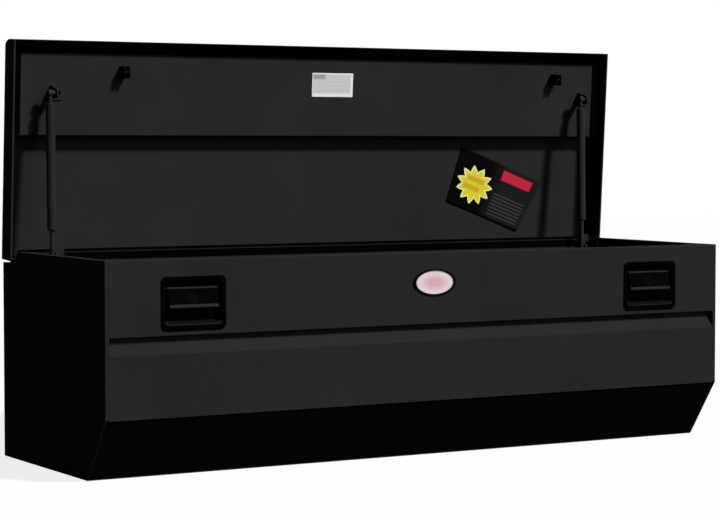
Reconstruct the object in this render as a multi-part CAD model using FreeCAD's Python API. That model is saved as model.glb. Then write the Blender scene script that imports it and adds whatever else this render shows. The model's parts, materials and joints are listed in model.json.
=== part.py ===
import FreeCAD
import Part
import math
import os

os.makedirs("parts", exist_ok=True)

V = FreeCAD.Vector

# Overall sizes in millimetres
WIDTH = 1524.0
DEPTH = 530.0
RIM_Z = 443.0
BODY_T = 2.0
LID_T = 1.5

HALF_W = WIDTH / 2
FRONT_Y = -DEPTH / 2
BACK_Y = DEPTH / 2

# Kick panel
KICK_TOP_Z = 129.0
KICK_INSET = 89.0
KICK_FOOT_Y = FRONT_Y + KICK_INSET

# Front panel
FRONT_HALF = 752.7
RIM_FLANGE = 22.0
RIM_LIP = 12.0
GROOVE_TOP_Z = 290.0
GROOVE_BOTTOM_Z = 254.0
GROOVE_DEPTH = 12.0

# End panels
CORNER_FLANGE = 9.0
END_FLANGE = 22.0
REAR_NOTCH_Y = 188.0
LEDGE_TOP_Z = 418.2
LEDGE_UNDER_Z = LEDGE_TOP_Z - BODY_T
UPSTAND_Y = 189.5

# Hinge
HINGE_Y = 197.0
HINGE_Z = 423.0
PIN_R = 3.0
KNUCKLE_BORE_R = 3.05
KNUCKLE_R = 4.5
HINGE_HALF = 771.0
KNUCKLE_COUNT = 32
KNUCKLE_GAP = 0.4
LEAF_T = 1.5
BODY_LEAF_Y = (202.2, 236.0)
LID_LEAF_B = (-34.0, -5.2)

# Lid, in its own frame: a runs up from the hinge, b runs out of the open lid
LEAN = math.radians(3.7)
LID_HALF = 773.0
LID_LENGTH = 470.0
LID_DEPTH = 57.0
LID_EDGE_R = 10.0
LID_FAR_R = 34.0
SIDE_LIP = 2.5
PAN_T = 1.2
PAN_B = -25.0
PAN_START_A = 265.0
PAN_HALF = 771.2
PAN_FLANGE = 8.0
PAN_FAR_A = LID_LENGTH - LID_T - 2.0
LID_SEAL_W = 23.0
LID_SEAL_T = 4.5

# Latches
LATCH_X = (-568.5, 571.5)
LATCH_Z = 355.0
BEZEL_W = 144.0
BEZEL_H = 109.0
BEZEL_R = 12.0
BEZEL_T = 2.0
GASKET_T = 1.0
MOUTH_W = 130.0
MOUTH_H = 88.0
MOUTH_R = 10.0
MOUTH_Z = LATCH_Z + 1.0
RECESS_W = 114.0
RECESS_H = 76.0
RECESS_R = 7.0
RECESS_T = 1.5
RECESS_FLOOR_Y = -247.0
STUD_R = 2.0
STUD_DX = 45.0
STUD_Z = (LATCH_Z - 49.5, LATCH_Z + 50.3)
NUT_ACROSS = 7.0
NUT_T = 3.2

# Paddle, its pin and the lock in it
PADDLE_W = 109.0
PADDLE_TOP = (-259.0, 388.0)
PADDLE_SHIN = (-267.0, 352.0)
PADDLE_PIN_Y = -251.5
PADDLE_PIN_Z = 384.0
PADDLE_PIN_R = 2.5
BARREL_R = 4.0
ARM_DX = (44.0, 49.0)
ARM_TIP_Y = -231.5
ARM_Z = (376.0, 382.0)
ARM_SLOT_Z = (369.0, 384.5)
SPRING_DX = (-42.0, -30.0)
LOCK_R = 9.5
LOCK_Z = 366.0

# Catch hooks and strikers
CATCH_DX = 57.5
HOOK_T = 5.0
HOOK_Y = -212.0
HOOK_Z = 385.0
HOOK_PIN_R = 3.0
TAB_Y = (-242.0, -236.0)
TAB_Z = (371.4, 375.4)
BRACKET_T = 2.0
EAR_X = (CATCH_DX + HOOK_T / 2 + 0.6, CATCH_DX + HOOK_T / 2 + 0.6 + BRACKET_T)
BRACKET_STUD_DX = 48.0
BRACKET_STUD_Z = (337.0, 351.0)
STRIKER_A = 404.0
STRIKER_B = -1.0
STRIKER_R = 4.0
STRIKER_EAR_X = (4.0, 6.5)
STRIKER_LENGTH = 26.0
STRIKER_RIVET_DA = 8.0

# Gas struts, tube hung from the lid and rod reaching down to the body
STRUT_X = (-692.0, 692.0)
STRUT_LID_A = 358.0
STRUT_LID_B = 6.0
STRUT_BODY_Y = 160.0
STRUT_BODY_Z = 397.0
TUBE_R = 10.0
TUBE_BORE_R = 8.6
TUBE_START = 22.0
TUBE_LENGTH = 270.0
ROD_R = 4.95
ROD_FITTING = 20.0
PISTON_FROM_BODY = 122.0
EYE_R = 8.0
STRUT_PIN_R = 4.0
EAR_DX = (12.5, 15.5)
FOOT_DX = 38.0
BRACKET_BOLT_DX = (22.0, 32.0)
BRACKET_BOLT_Z = 431.0
BRACKET_TOP_Z = 452.0
BOLT_R = 2.5

# Hold-down holes in the floor
HOLD_SPACING_X = 1320.0
HOLD_SPACING_Y = 320.0
HOLD_CENTRE_Y = 43.0
HOLD_R = 5.5


def save(name, shape):
    shape.exportStep("parts/%s.step" % name)


def fuse(shapes):
    result = shapes[0]
    if len(shapes) > 1:
        result = result.multiFuse(shapes[1:])
    return result.removeSplitter()


def cut(shape, tools):
    return shape.cut(Part.makeCompound(tools))


def box(x0, x1, y0, y1, z0, z1):
    return Part.makeBox(x1 - x0, y1 - y0, z1 - z0, V(x0, y0, z0))


def rod_x(x0, x1, y, z, radius):
    return Part.makeCylinder(radius, x1 - x0, V(x0, y, z), V(1, 0, 0))


def rod_y(x, y0, y1, z, radius):
    return Part.makeCylinder(radius, y1 - y0, V(x, y0, z), V(0, 1, 0))


def rod_z(x, y, z0, z1, radius):
    return Part.makeCylinder(radius, z1 - z0, V(x, y, z0), V(0, 0, 1))


def hexagon(centre, axis, across, height):
    """Hexagon nut or bolt head standing on centre along axis."""
    axis = V(axis).normalize()
    side = axis.cross(V(0.3, 0.5, 0.8)).normalize()
    other = axis.cross(side)
    radius = across / math.sqrt(3)
    points = []
    for step in range(7):
        turn = math.radians(60 * step)
        points.append(centre + side * (radius * math.cos(turn)) + other * (radius * math.sin(turn)))
    return Part.Face(Part.makePolygon(points)).extrude(axis * height)


def rounded_wire(points, place):
    """Closed outline from (u, v, radius) corners, each corner an arc; place maps (u, v) to space."""
    count = len(points)
    spans = []
    for index in range(count):
        before = points[index - 1]
        here = points[index]
        after = points[(index + 1) % count]
        to_before = V(before[0] - here[0], before[1] - here[1], 0).normalize()
        to_after = V(after[0] - here[0], after[1] - here[1], 0).normalize()
        corner = V(here[0], here[1], 0)
        angle = to_before.getAngle(to_after)
        radius = here[2] if len(here) > 2 else 0.0
        if radius <= 0 or abs(angle - math.pi) < 1e-6:
            spans.append((corner, None, corner))
            continue
        reach = radius / math.tan(angle / 2)
        bisector = (to_before + to_after).normalize()
        middle = corner + bisector * (radius / math.sin(angle / 2) - radius)
        spans.append((corner + to_before * reach, middle, corner + to_after * reach))
    edges = []
    for index in range(count):
        start, middle, end = spans[index]
        if middle is not None:
            edges.append(Part.Arc(place(start), place(middle), place(end)).toShape())
        following = spans[(index + 1) % count][0]
        if (following - end).Length > 1e-6:
            edges.append(Part.LineSegment(place(end), place(following)).toShape())
    return Part.Wire(edges)


def section(points, x0, x1):
    """Outline in (y, z) with corner radii, extruded along X."""
    wire = rounded_wire(points, lambda p: V(x0, p.x, p.y))
    return Part.Face(wire).extrude(V(x1 - x0, 0, 0))


def plate_xz(points, y0, y1):
    """Outline in (x, z) with corner radii, extruded along Y."""
    wire = rounded_wire(points, lambda p: V(p.x, y0, p.y))
    return Part.Face(wire).extrude(V(0, y1 - y0, 0))


def plate_xy(points, z0, z1):
    """Outline in (x, y) with corner radii, extruded along Z."""
    wire = rounded_wire(points, lambda p: V(p.x, p.y, z0))
    return Part.Face(wire).extrude(V(0, 0, z1 - z0))


def rounded_rect(cx, cz, width, height, radius):
    w = width / 2
    h = height / 2
    corners = ((-w, -h), (w, -h), (w, h), (-w, h))
    return [(cx + dx, cz + dz, radius) for dx, dz in corners]


def sheet(path, thickness, bend):
    """Outline of a bent sheet lying to the left of an open path; bend is the inner radius."""
    points = [V(p[0], p[1], 0) for p in path]
    last = len(points) - 1
    right_side = []
    left_side = []
    for index, point in enumerate(points):
        before = (point - points[index - 1]).normalize() if index > 0 else None
        after = (points[index + 1] - point).normalize() if index < last else None
        first = before or after
        second = after or before
        normal_1 = V(-first.y, first.x, 0)
        normal_2 = V(-second.y, second.x, 0)
        shift = (normal_1 + normal_2) * (thickness / (1 + normal_1.dot(normal_2)))
        turn = first.x * second.y - first.y * second.x
        inner = bend if before and after else 0.0
        outer = bend + thickness if before and after else 0.0
        if turn >= 0:
            right_side.append((point.x, point.y, outer))
            left_side.append((point.x + shift.x, point.y + shift.y, inner))
        else:
            right_side.append((point.x, point.y, inner))
            left_side.append((point.x + shift.x, point.y + shift.y, outer))
    return right_side + left_side[::-1]


def to_open_lid(shape):
    """Move a shape drawn in the lid frame (X, a, b) to where the open lid is."""
    s = math.sin(LEAN)
    c = math.cos(LEAN)
    matrix = FreeCAD.Matrix(1, 0, 0, 0,
                            0, -s, -c, HINGE_Y,
                            0, c, -s, HINGE_Z,
                            0, 0, 0, 1)
    placement = FreeCAD.Placement(matrix)
    moved = shape.copy()
    moved.Placement = placement.multiply(shape.Placement)
    return moved


def fillet_where(shape, radius, test):
    """Round every straight edge whose two ends pass the test."""
    edges = []
    for edge in shape.Edges:
        ends = [v.Point for v in edge.Vertexes]
        if len(ends) == 2 and all(test(p) for p in ends):
            edges.append(edge)
    return shape.makeFillet(radius, edges)


def near(value, target):
    return abs(value - target) < 1e-3


# Knuckle stations along the hinge, even ones belong to the body and odd ones to the lid
KNUCKLE_PITCH = 2 * HINGE_HALF / KNUCKLE_COUNT


def knuckle_spans(first):
    spans = []
    for index in range(first, KNUCKLE_COUNT, 2):
        x0 = -HINGE_HALF + index * KNUCKLE_PITCH + KNUCKLE_GAP / 2
        spans.append((x0, x0 + KNUCKLE_PITCH - KNUCKLE_GAP))
    return spans


def rivet_stations(offset):
    count = 16
    pitch = 1480.0 / count
    return [-740.0 + pitch * (index + offset) for index in range(count)]


BODY_RIVET_X = rivet_stations(0.3)
LID_RIVET_X = rivet_stations(0.7)
BODY_RIVET_Y = 220.0
LID_RIVET_B = -20.0
RIVET_R = 2.0
RIVET_HEAD_R = 4.0


def latch_opening(x, y0, y1):
    """Cutter for the hole that the latch recess passes through."""
    clear = 2 * (RECESS_T - 0.5)
    return plate_xz(rounded_rect(x, MOUTH_Z, MOUTH_W + clear, MOUTH_H + clear, MOUTH_R), y0, y1)


# Front panel
def front_panel():
    groove_floor = FRONT_Y + GROOVE_DEPTH
    path = [
        (FRONT_Y + RIM_FLANGE, RIM_Z - RIM_LIP),
        (FRONT_Y + RIM_FLANGE, RIM_Z),
        (FRONT_Y, RIM_Z),
        (FRONT_Y, GROOVE_TOP_Z),
        (groove_floor, GROOVE_TOP_Z - 2.0),
        (groove_floor, GROOVE_BOTTOM_Z + 22.0),
        (FRONT_Y, GROOVE_BOTTOM_Z),
        (FRONT_Y, KICK_TOP_Z - 2.0),
    ]
    panel = section(sheet(path, BODY_T, 1.0), -FRONT_HALF, FRONT_HALF)
    tools = []
    for x in LATCH_X:
        tools.append(latch_opening(x, FRONT_Y - 1.0, FRONT_Y + BODY_T + 1.0))
        for dx in (-STUD_DX, STUD_DX):
            for z in STUD_Z:
                tools.append(rod_y(x + dx, FRONT_Y - 1.0, FRONT_Y + 4.0, z, STUD_R + 0.3))
    return cut(panel, tools)


# Kick panel
def kick_panel():
    slope_y = KICK_INSET / KICK_TOP_Z
    bend_z = KICK_TOP_Z - BODY_T / slope_y
    path = [
        (FRONT_Y + BODY_T, KICK_TOP_Z + 20.0),
        (FRONT_Y + BODY_T, bend_z),
        (KICK_FOOT_Y - BODY_T * slope_y, BODY_T),
        (KICK_FOOT_Y + 24.0, BODY_T),
    ]
    return section(sheet(path, BODY_T, 1.5), -FRONT_HALF - 7.0, FRONT_HALF + 7.0)


# Floor panel
def floor_panel():
    inner = HALF_W - BODY_T - 0.2
    shapes = [
        box(-inner, inner, KICK_FOOT_Y - 1.0, BACK_Y - BODY_T, 0.0, BODY_T),
        box(-inner, inner, BACK_Y - 2 * BODY_T, BACK_Y - BODY_T, 0.0, 22.0),
    ]
    for side in (-1, 1):
        x0, x1 = sorted((side * inner, side * (inner - BODY_T)))
        shapes.append(box(x0, x1, KICK_FOOT_Y + 26.0, BACK_Y - BODY_T, 0.0, 22.0))
    panel = fuse(shapes)
    tools = []
    for sx in (-1, 1):
        for sy in (-1, 1):
            x = sx * HOLD_SPACING_X / 2
            y = HOLD_CENTRE_Y + sy * HOLD_SPACING_Y / 2
            tools.append(rod_z(x, y, -1.0, BODY_T + 1.0, HOLD_R))
    return cut(panel, tools)


# Back panel
def back_panel():
    inner = HALF_W - BODY_T - 0.2
    return box(-inner, inner, BACK_Y - BODY_T, BACK_Y, 0.0, LEDGE_UNDER_Z)


# End panels
def end_panel(side):
    outline = [
        (FRONT_Y, KICK_TOP_Z),
        (KICK_FOOT_Y, 0.0),
        (BACK_Y, 0.0),
        (BACK_Y, LEDGE_UNDER_Z),
        (REAR_NOTCH_Y, LEDGE_UNDER_Z, 3.0),
        (REAR_NOTCH_Y, RIM_Z, 4.0),
        (FRONT_Y, RIM_Z),
    ]
    x_skin = HALF_W - BODY_T
    x_corner = HALF_W - CORNER_FLANGE
    rim_low = RIM_Z - BODY_T
    flange_y = FRONT_Y + RIM_FLANGE + 0.2
    plate = section(outline, x_skin, HALF_W)
    corner = box(x_corner, HALF_W, FRONT_Y, FRONT_Y + BODY_T, KICK_TOP_Z, RIM_Z)
    corner_top = box(x_corner, HALF_W, FRONT_Y, flange_y, rim_low, RIM_Z)
    rim = box(HALF_W - END_FLANGE, HALF_W, flange_y, REAR_NOTCH_Y - 4.0, rim_low, RIM_Z)
    lip = box(HALF_W - END_FLANGE, HALF_W - END_FLANGE + BODY_T,
              flange_y, REAR_NOTCH_Y - 4.0, RIM_Z - RIM_LIP, RIM_Z)
    panel = fuse([plate, corner, corner_top, rim, lip])
    panel = fillet_where(panel, 1.8, lambda p: near(p.x, HALF_W) and near(p.y, FRONT_Y))
    if side < 0:
        panel = panel.mirror(V(0, 0, 0), V(1, 0, 0))
    return panel


# Hinge ledge
def hinge_ledge():
    front = UPSTAND_Y + BODY_T
    rear = BACK_Y - 2 * BODY_T
    path = [
        (front, LEDGE_UNDER_Z),
        (rear, LEDGE_UNDER_Z),
        (rear, LEDGE_UNDER_Z - 20.0),
    ]
    outline = sheet(path, BODY_T, 1.0)
    inner = HALF_W - BODY_T - 0.2
    ledge = section(outline, -inner, inner)
    cap = box(-HALF_W, HALF_W, REAR_NOTCH_Y + 5.0, BACK_Y, LEDGE_UNDER_Z, LEDGE_TOP_Z)
    ledge = fuse([ledge, cap])
    tools = [rod_z(x, BODY_RIVET_Y, LEDGE_UNDER_Z - 1, LEDGE_TOP_Z + 1, RIVET_R) for x in BODY_RIVET_X]
    return cut(ledge, tools)


# Upright strip along the front of the ledge, carries the strut brackets
def rear_rim():
    inner = HALF_W - BODY_T - 0.2
    strip = box(-inner, inner, UPSTAND_Y, UPSTAND_Y + BODY_T, LEDGE_UNDER_Z, RIM_Z)
    tools = []
    for x in STRUT_X:
        for dx in BRACKET_BOLT_DX:
            tools.append(rod_y(x + dx, UPSTAND_Y - 1, UPSTAND_Y + 4, BRACKET_BOLT_Z, BOLT_R))
    return cut(strip, tools)


# Rear seal, one bead on the rear rim and one down its face
def rim_seal():
    height = 4.5
    face_low = RIM_Z - 19.0
    face_high = RIM_Z - 3.5
    half = HALF_W - 4.0
    outline = [
        (UPSTAND_Y + 2.0, RIM_Z),
        (UPSTAND_Y + 2.0, RIM_Z + height, 2.0),
        (UPSTAND_Y - 2.0, RIM_Z + height, 2.0),
        (UPSTAND_Y - 2.0, RIM_Z),
    ]
    top = section(outline, -half, half)
    face_outline = [
        (UPSTAND_Y, face_low),
        (UPSTAND_Y, face_high),
        (UPSTAND_Y - 2.5, face_high, 1.5),
        (UPSTAND_Y - 2.5, face_low, 1.5),
    ]
    face = section(face_outline, -half, half)
    tools = []
    for x in STRUT_X:
        tools.append(box(x + EAR_DX[0] - 1.0, x + FOOT_DX + 1.0, UPSTAND_Y - 5.0, UPSTAND_Y + 0.5,
                         face_low - 1.0, RIM_Z + height + 1.0))
    return Part.makeCompound([cut(top, tools), cut(face, tools)])


# Badge
def badge_plate():
    long_half = 53.0
    short_half = 28.5
    centre = V(0, FRONT_Y, 378.5)

    def oval(a, b, y):
        ellipse = Part.Ellipse(V(a, 0, 0), V(0, b, 0), V(0, 0, 0)).toShape()
        wire = Part.Wire([ellipse])
        wire.rotate(V(0, 0, 0), V(1, 0, 0), 90)
        wire.translate(V(centre.x, y, centre.z))
        return Part.Face(wire)

    plate = oval(long_half, short_half, FRONT_Y).extrude(V(0, -2.0, 0))
    field = oval(long_half - 5.0, short_half - 5.0, FRONT_Y - 1.4).extrude(V(0, -1.0, 0))
    return plate.cut(field)


# Hinge
def hinge_body_leaf():
    shapes = [box(-HALF_W, HALF_W, BODY_LEAF_Y[0], BODY_LEAF_Y[1], LEDGE_TOP_Z, LEDGE_TOP_Z + LEAF_T)]
    for x0, x1 in knuckle_spans(0):
        shapes.append(rod_x(x0, x1, HINGE_Y, HINGE_Z, KNUCKLE_R))
        shapes.append(box(x0, x1, HINGE_Y, BODY_LEAF_Y[0], LEDGE_TOP_Z, LEDGE_TOP_Z + LEAF_T))
    leaf = fuse(shapes)
    tools = [rod_x(-HINGE_HALF - 1, HINGE_HALF + 1, HINGE_Y, HINGE_Z, KNUCKLE_BORE_R)]
    for x in BODY_RIVET_X:
        tools.append(rod_z(x, BODY_RIVET_Y, LEDGE_TOP_Z - 1, LEDGE_TOP_Z + 3, RIVET_R))
    return cut(leaf, tools)


def hinge_lid_leaf():
    shapes = [box(-HALF_W, HALF_W, -LEAF_T, 0.0, LID_LEAF_B[0], LID_LEAF_B[1])]
    for x0, x1 in knuckle_spans(1):
        shapes.append(rod_x(x0, x1, 0.0, 0.0, KNUCKLE_R))
        shapes.append(box(x0, x1, -LEAF_T, 0.0, LID_LEAF_B[1], 0.0))
    leaf = fuse(shapes)
    tools = [rod_x(-HINGE_HALF - 1, HINGE_HALF + 1, 0.0, 0.0, KNUCKLE_BORE_R)]
    for x in LID_RIVET_X:
        tools.append(rod_y(x, -LEAF_T - 1, 1.0, LID_RIVET_B, RIVET_R))
    return to_open_lid(cut(leaf, tools))


def hinge_pin():
    pin = rod_x(-HINGE_HALF, HINGE_HALF, HINGE_Y, HINGE_Z, PIN_R)
    return pin.makeChamfer(0.6, pin.Edges[0:1] + pin.Edges[2:3])


def hinge_body_rivets():
    rivets = []
    for x in BODY_RIVET_X:
        head = rod_z(x, BODY_RIVET_Y, LEDGE_TOP_Z + LEAF_T, LEDGE_TOP_Z + LEAF_T + 0.8, RIVET_HEAD_R)
        shank = rod_z(x, BODY_RIVET_Y, LEDGE_UNDER_Z, LEDGE_TOP_Z + LEAF_T + 0.8, RIVET_R)
        tail = rod_z(x, BODY_RIVET_Y, LEDGE_UNDER_Z - 1.5, LEDGE_UNDER_Z, RIVET_HEAD_R - 0.5)
        rivets.append(fuse([head, shank, tail]))
    return Part.makeCompound(rivets)


def hinge_lid_rivets():
    rivets = []
    for x in LID_RIVET_X:
        head = rod_y(x, -LEAF_T - 0.8, -LEAF_T, LID_RIVET_B, RIVET_HEAD_R)
        shank = rod_y(x, -LEAF_T - 0.8, LID_T, LID_RIVET_B, RIVET_R)
        tail = rod_y(x, LID_T, LID_T + 1.5, LID_RIVET_B, RIVET_HEAD_R - 0.5)
        rivets.append(fuse([head, shank, tail]))
    return to_open_lid(Part.makeCompound(rivets))


# Lid
def lid_block(inset, top):
    """Block inside the lid's folded outline, inset from every face but the open one at top."""
    half = LID_HALF - inset
    far = LID_LENGTH - inset
    floor = -LID_DEPTH + inset
    edge_r = LID_EDGE_R - inset
    profile = [(inset, top), (inset, floor, edge_r), (far, floor, LID_FAR_R - inset), (far, top)]
    across = [(-half, top), (-half, floor, edge_r), (half, floor, edge_r), (half, top)]
    return section(profile, -half, half).common(plate_xz(across, inset, far))


def lid_skin():
    inner_half = LID_HALF - LID_T
    far = LID_LENGTH - LID_T
    shapes = [lid_block(0.0, 0.0).cut(lid_block(LID_T, LID_DEPTH))]
    for side in (-1, 1):
        x0, x1 = sorted((side * (inner_half + 0.5), side * (inner_half - SIDE_LIP)))
        shapes.append(box(x0, x1, 9.0, far, -LID_T, 0.0))
    skin = fuse(shapes)
    hinge_relief = box(-inner_half, inner_half, -1.0, LID_T + 0.5, -5.2, 1.0)
    tools = [hinge_relief]
    for x in LID_RIVET_X:
        tools.append(rod_y(x, -1.0, LID_T + 1.0, LID_RIVET_B, RIVET_R))
    return to_open_lid(cut(skin, tools))


def lid_inner_pan():
    path = [
        (PAN_FAR_A, PAN_B - PAN_FLANGE),
        (PAN_FAR_A, PAN_B),
        (PAN_START_A, PAN_B),
        (PAN_START_A, -LID_DEPTH + LID_T + PAN_T),
        (PAN_START_A - 16.0, -LID_DEPTH + LID_T + PAN_T),
    ]
    pan = section(sheet(path, PAN_T, 2.0), -PAN_HALF, PAN_HALF)
    floor_b = -LID_DEPTH + LID_T
    room = box(-PAN_HALF, PAN_HALF, 0.0, PAN_FAR_A, floor_b, 10.0)
    room = fillet_where(room, LID_EDGE_R - LID_T, lambda p: near(p.z, floor_b))
    pan = pan.common(room)
    tools = []
    for x in LATCH_X:
        for da in (-STRIKER_RIVET_DA, STRIKER_RIVET_DA):
            tools.append(rod_z(x + CATCH_DX, STRIKER_A + da, PAN_B - 5, PAN_B + 5, RIVET_R))
    for x in STRUT_X:
        for dx in BRACKET_BOLT_DX:
            tools.append(rod_z(x + dx, STRUT_LID_A, PAN_B - 5, PAN_B + 5, BOLT_R))
    return to_open_lid(cut(pan, tools))


def lid_seal():
    """Flat rubber frame round three sides of the inner pan."""
    half = PAN_HALF - 0.2
    near_a = PAN_START_A + 4.0
    whole = box(-half, half, near_a, PAN_FAR_A, PAN_B, PAN_B + LID_SEAL_T)
    window = box(-half + LID_SEAL_W, half - LID_SEAL_W, near_a - 1.0, PAN_FAR_A - LID_SEAL_W,
                 PAN_B - 1.0, PAN_B + LID_SEAL_T + 1.0)
    return to_open_lid(whole.cut(window))


def striker(x_latch):
    """Channel standing on the inner pan with its cross bar."""
    x = x_latch + CATCH_DX
    half = STRIKER_LENGTH / 2
    low = STRIKER_A - half
    high = STRIKER_A + half
    top = STRIKER_B + STRIKER_R + 0.5
    outline = [(low, PAN_B), (high, PAN_B), (high, top, 6.0), (low, top, 6.0)]
    shapes = [box(x - STRIKER_EAR_X[1], x + STRIKER_EAR_X[1], low, high, PAN_B, PAN_B + 2.0)]
    for side in (-1, 1):
        x0, x1 = sorted((x + side * STRIKER_EAR_X[0], x + side * STRIKER_EAR_X[1]))
        shapes.append(section(outline, x0, x1))
    shapes.append(rod_x(x - STRIKER_EAR_X[1], x + STRIKER_EAR_X[1], STRIKER_A, STRIKER_B, STRIKER_R))
    tools = []
    for da in (-STRIKER_RIVET_DA, STRIKER_RIVET_DA):
        tools.append(rod_z(x, STRIKER_A + da, PAN_B - 1, PAN_B + 3, RIVET_R))
    return to_open_lid(cut(fuse(shapes), tools))


def striker_rivets():
    rivets = []
    for x_latch in LATCH_X:
        x = x_latch + CATCH_DX
        for da in (-STRIKER_RIVET_DA, STRIKER_RIVET_DA):
            a = STRIKER_A + da
            head = rod_z(x, a, PAN_B + 2.0, PAN_B + 3.2, RIVET_HEAD_R - 0.5)
            shank = rod_z(x, a, PAN_B - PAN_T, PAN_B + 3.2, RIVET_R)
            tail = rod_z(x, a, PAN_B - PAN_T - 1.2, PAN_B - PAN_T, RIVET_HEAD_R - 1.0)
            rivets.append(fuse([head, shank, tail]))
    return to_open_lid(Part.makeCompound(rivets))


def lid_label():
    width = 107.0
    height = 54.0
    x = 15.5
    a = 383.0
    label = box(x - width / 2, x + width / 2, a - height / 2, a + height / 2, PAN_B, PAN_B + 0.4)
    return to_open_lid(label)


def lid_card():
    width = 226.0
    height = 137.0
    b = -LID_DEPTH + LID_T
    card = box(-width / 2, width / 2, -height / 2, height / 2, b, b + 0.5)
    card.rotate(V(0, 0, 0), V(0, 0, 1), -20.0)
    card.translate(V(483.0, 135.0, 0))
    return to_open_lid(card)


# Latches
BEZEL_FRONT_Y = FRONT_Y - GASKET_T - BEZEL_T
RECESS_BACK_Y = RECESS_FLOOR_Y + RECESS_T


def recess_block(x, wall, y1):
    """Drafted block from the mouth of the recess back to y1, grown all round by wall."""
    depth = RECESS_FLOOR_Y - BEZEL_FRONT_Y
    share = (y1 - BEZEL_FRONT_Y) / depth
    stations = (
        (BEZEL_FRONT_Y, MOUTH_W, MOUTH_H, MOUTH_R),
        (y1, MOUTH_W + (RECESS_W - MOUTH_W) * share, MOUTH_H + (RECESS_H - MOUTH_H) * share,
         MOUTH_R + (RECESS_R - MOUTH_R) * share),
    )
    wires = []
    for y, width, height, radius in stations:
        corners = rounded_rect(x, MOUTH_Z, width + 2 * wall, height + 2 * wall, radius + wall)
        wires.append(rounded_wire(corners, lambda p, y=y: V(p.x, y, p.y)))
    return Part.makeLoft(wires, True, True)


def latch_pan(x):
    seat = FRONT_Y - GASKET_T
    bezel = plate_xz(rounded_rect(x, LATCH_Z, BEZEL_W, BEZEL_H, BEZEL_R), BEZEL_FRONT_Y, seat)
    outer_front = [e for e in bezel.Edges if near(e.BoundBox.YMax, BEZEL_FRONT_Y)]
    bezel = bezel.makeFillet(1.0, outer_front)
    studs = []
    for dx in (-STUD_DX, STUD_DX):
        for z in STUD_Z:
            studs.append(rod_y(x + dx, seat - 0.5, FRONT_Y + 9.0, z, STUD_R))
    for z in BRACKET_STUD_Z:
        studs.append(rod_y(x + BRACKET_STUD_DX, RECESS_BACK_Y - 0.5, RECESS_BACK_Y + 7.5, z, STUD_R))
    pan = fuse([bezel, recess_block(x, RECESS_T, RECESS_BACK_Y)] + studs)
    pan = pan.cut(recess_block(x, 0.0, RECESS_FLOOR_Y))
    half_w = MOUTH_W / 2 + 0.1
    half_h = MOUTH_H / 2 + 0.1
    mouth = []
    for edge in pan.Edges:
        size = edge.BoundBox
        flat = near(size.YMin, BEZEL_FRONT_Y) and near(size.YMax, BEZEL_FRONT_Y)
        if flat and abs(size.Center.x - x) < half_w and abs(size.Center.z - MOUTH_Z) < half_h:
            mouth.append(edge)
    pan = pan.makeFillet(1.8, mouth)
    tools = [
        rod_x(x - MOUTH_W, x + MOUTH_W, PADDLE_PIN_Y, PADDLE_PIN_Z, PADDLE_PIN_R),
        box(x + ARM_DX[0] - 1.0, x + ARM_DX[1] + 1.0, RECESS_FLOOR_Y - 1, RECESS_BACK_Y + 1,
            ARM_SLOT_Z[0], ARM_SLOT_Z[1]),
    ]
    return cut(pan, tools)


def latch_gasket(x):
    ring = plate_xz(rounded_rect(x, LATCH_Z, BEZEL_W, BEZEL_H, BEZEL_R), FRONT_Y - GASKET_T, FRONT_Y)
    tools = [latch_opening(x, FRONT_Y - 3.0, FRONT_Y + 1.0)]
    for dx in (-STUD_DX, STUD_DX):
        for z in STUD_Z:
            tools.append(rod_y(x + dx, FRONT_Y - 3.0, FRONT_Y + 1.0, z, STUD_R))
    return cut(ring, tools)


def nut(x, y, z):
    """Nut on a stud that points backwards."""
    solid = hexagon(V(x, y, z), V(0, 1, 0), NUT_ACROSS, NUT_T)
    return solid.cut(rod_y(x, y - 1, y + NUT_T + 1, z, STUD_R))


def latch_nuts(x):
    nuts = []
    for dx in (-STUD_DX, STUD_DX):
        for z in STUD_Z:
            nuts.append(nut(x + dx, FRONT_Y + BODY_T, z))
    for z in BRACKET_STUD_Z:
        nuts.append(nut(x + BRACKET_STUD_DX, RECESS_BACK_Y + BRACKET_T, z))
    return Part.makeCompound(nuts)


# Paddle with the arm that works the catch hook
FACE_TILT = math.atan2(PADDLE_TOP[0] - PADDLE_SHIN[0], PADDLE_TOP[1] - PADDLE_SHIN[1])


def on_paddle_face(shape, x):
    """Move a shape drawn with the paddle face at y 0 and its inside at +y onto the sloping face."""
    y = PADDLE_TOP[0] - (PADDLE_TOP[1] - LOCK_Z) * math.tan(FACE_TILT)
    moved = shape.copy()
    tilt = FreeCAD.Rotation(V(1, 0, 0), -math.degrees(FACE_TILT))
    moved.Placement = FreeCAD.Placement(V(x, y, LOCK_Z), tilt)
    return moved


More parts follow.
